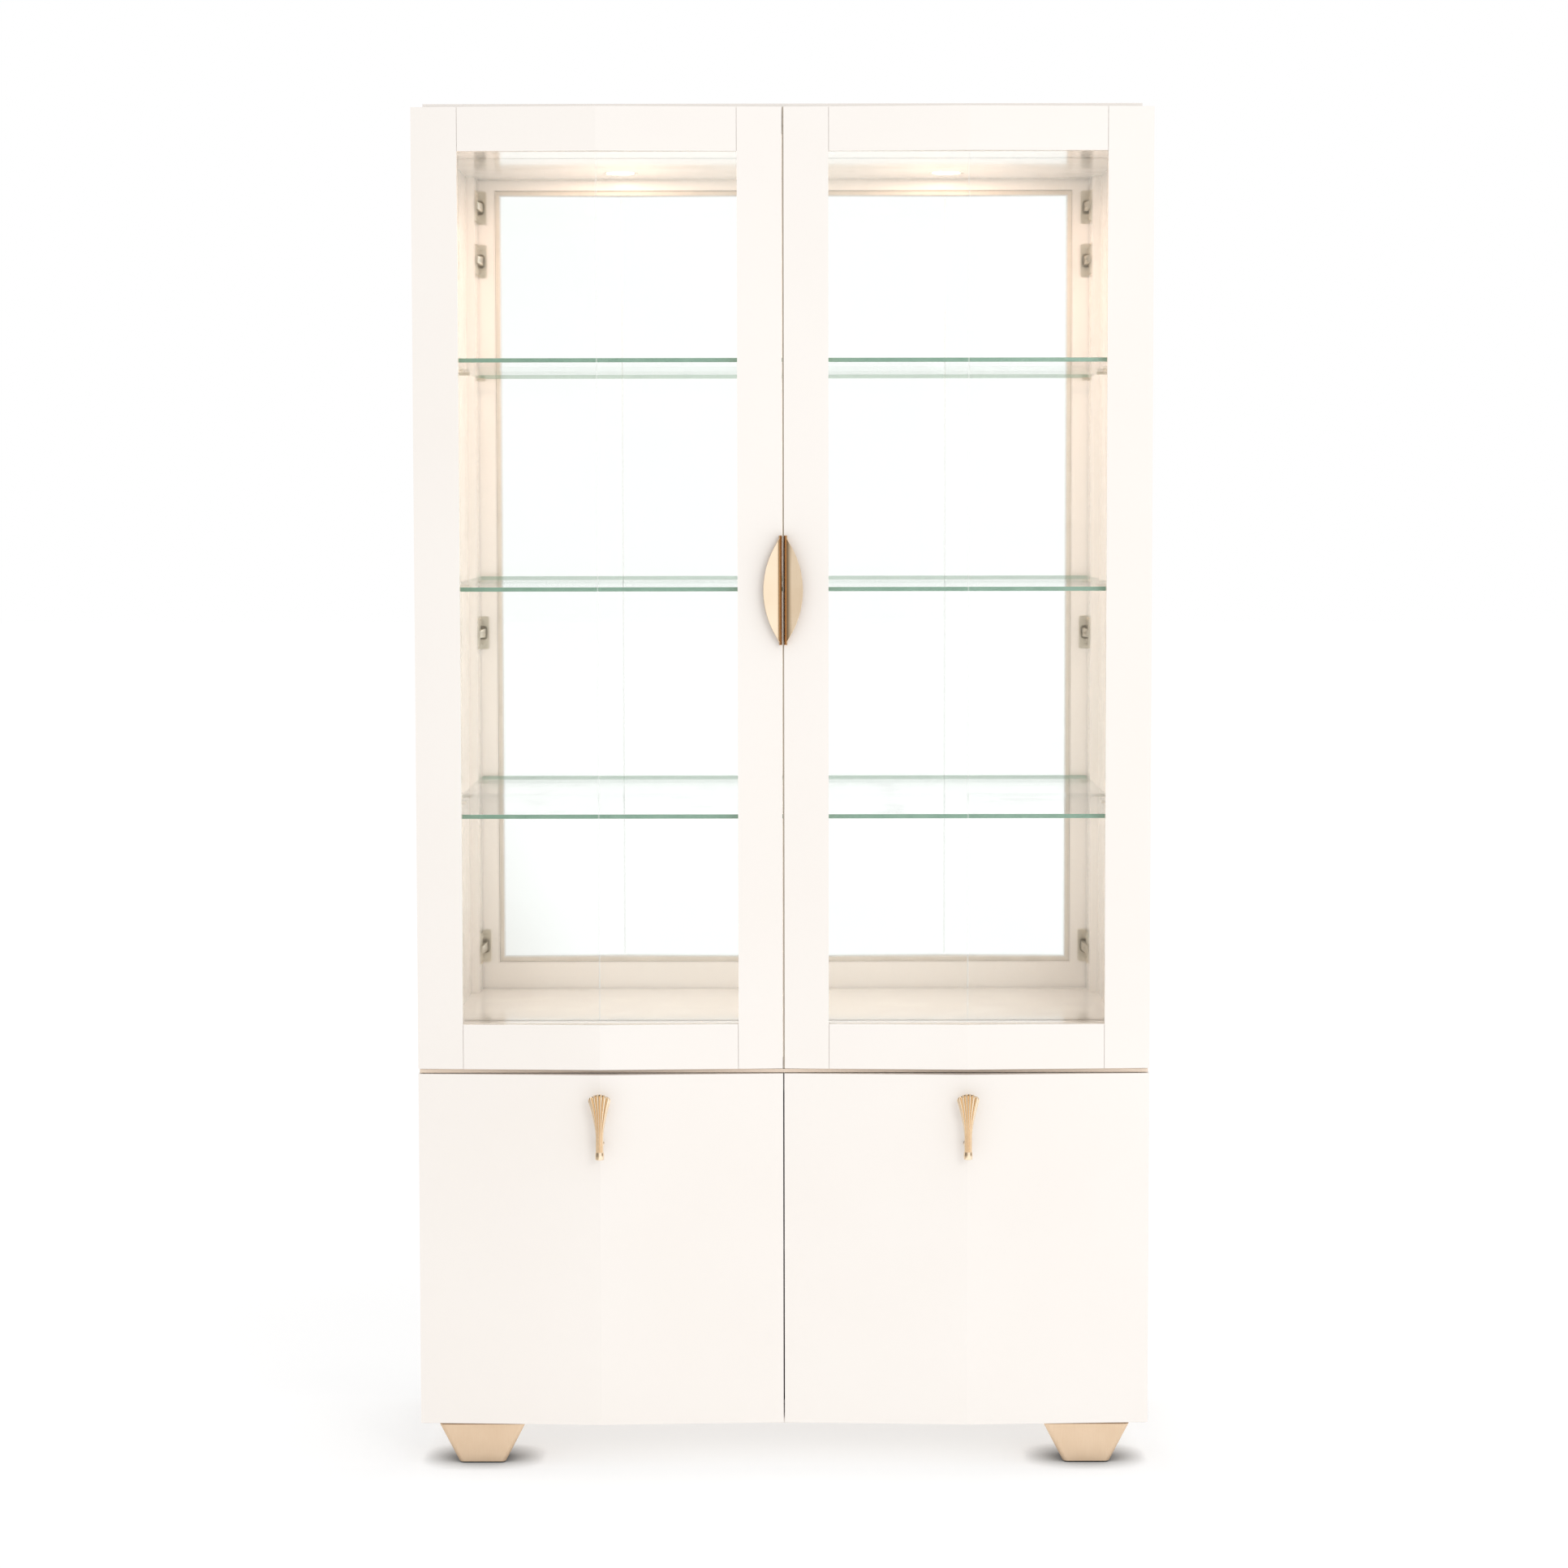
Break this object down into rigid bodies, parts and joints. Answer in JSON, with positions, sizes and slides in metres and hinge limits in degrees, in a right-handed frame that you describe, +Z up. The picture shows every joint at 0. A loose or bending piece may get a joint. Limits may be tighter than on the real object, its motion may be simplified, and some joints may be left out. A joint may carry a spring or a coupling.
{
  "type": "curio cabinet",
  "caption": "Tall curio cabinet: mirrored, lit display with glass shelves behind ridged glass doors, above a cupboard with solid ridged doors, on tapered feet.",
  "frame": {"origin": "middle of the overall footprint, on the floor under the foot glides", "axes": "+Z up; the doors face -Y; +X to the right for someone facing the doors"},
  "size_m": [1.12, 0.502, 2.083],
  "materials": {
    "lacquer": "high-gloss warm white lacquer on fibreboard",
    "mirror": "clear silvered mirror",
    "shelf_glass": "clear tempered glass with green polished edges",
    "door_glass": "clear flat glass",
    "gold": "satin champagne gold",
    "steel": "nickel plated steel",
    "rubber": "matt dark rubber",
    "white_plastic": "matt off-white plastic",
    "lens": "frosted diffuser, warm light"
  },
  "bodies": {
    "cabinet": {"left_side_panel": "lacquer", "right_side_panel": "lacquer", "top_panel": "lacquer", "middle_deck": "lacquer", "base_panel": "lacquer", "top_rail": "lacquer", "middle_rail": "lacquer", "base_rail": "lacquer", "light_deck": "lacquer", "upper_back_panel": "lacquer", "lower_back_panel": "lacquer", "mirror": "mirror", "upper_glass_shelf": "shelf_glass", "middle_glass_shelf": "shelf_glass", "lower_glass_shelf": "shelf_glass", "cupboard_shelf": "lacquer", "shelf_pins": "steel", "left_hinge_stile": "lacquer", "right_hinge_stile": "lacquer", "cupboard_hinge_stiles": "lacquer", "front_left_foot": "gold", "front_right_foot": "gold", "rear_left_foot": "gold", "rear_right_foot": "gold", "foot_glides": "rubber", "puck_light_bodies": "steel", "puck_light_lenses": "lens", "light_driver": "white_plastic", "cable_grommet": "rubber", "hinge_plates": "steel", "hinge_arms": "steel", "door_bumpers": "white_plastic", "back_panel_screws": "steel"},
    "left_upper_door": {"left_upper_outer_stile": "lacquer", "left_upper_inner_stile": "lacquer", "left_upper_top_rail": "lacquer", "left_upper_bottom_rail": "lacquer", "left_upper_glass": "door_glass", "left_upper_glass_stops": "lacquer", "left_upper_hinge_cups": "steel", "left_leaf_pull": "gold", "left_leaf_screws": "steel"},
    "right_upper_door": {"right_upper_outer_stile": "lacquer", "right_upper_inner_stile": "lacquer", "right_upper_top_rail": "lacquer", "right_upper_bottom_rail": "lacquer", "right_upper_glass": "door_glass", "right_upper_glass_stops": "lacquer", "right_upper_hinge_cups": "steel", "right_leaf_pull": "gold", "right_leaf_screws": "steel", "upper_door_seal": "rubber"},
    "left_lower_door": {"left_lower_door": "lacquer", "left_fan_pull": "gold", "left_fan_screws": "steel", "left_lower_hinge_cups": "steel"},
    "right_lower_door": {"right_lower_door": "lacquer", "right_fan_pull": "gold", "right_fan_screws": "steel", "right_lower_hinge_cups": "steel"}
  },
  "joints": [
    {"name": "left_upper_door_swing", "type": "hinge", "parent": "cabinet", "child": "left_upper_door", "pos_m": [-0.55, -0.205, 1.3465], "axis": [0, 0, -1], "range_deg": [0, 105]},
    {"name": "left_lower_door_swing", "type": "hinge", "parent": "cabinet", "child": "left_lower_door", "pos_m": [-0.55, -0.205, 0.33775], "axis": [0, 0, -1], "range_deg": [0, 105]},
    {"name": "right_upper_door_swing", "type": "hinge", "parent": "cabinet", "child": "right_upper_door", "pos_m": [0.55, -0.205, 1.3465], "axis": [0, 0, 1], "range_deg": [0, 105]},
    {"name": "right_lower_door_swing", "type": "hinge", "parent": "cabinet", "child": "right_lower_door", "pos_m": [0.55, -0.205, 0.33775], "axis": [0, 0, 1], "range_deg": [0, 105]}
  ]
}
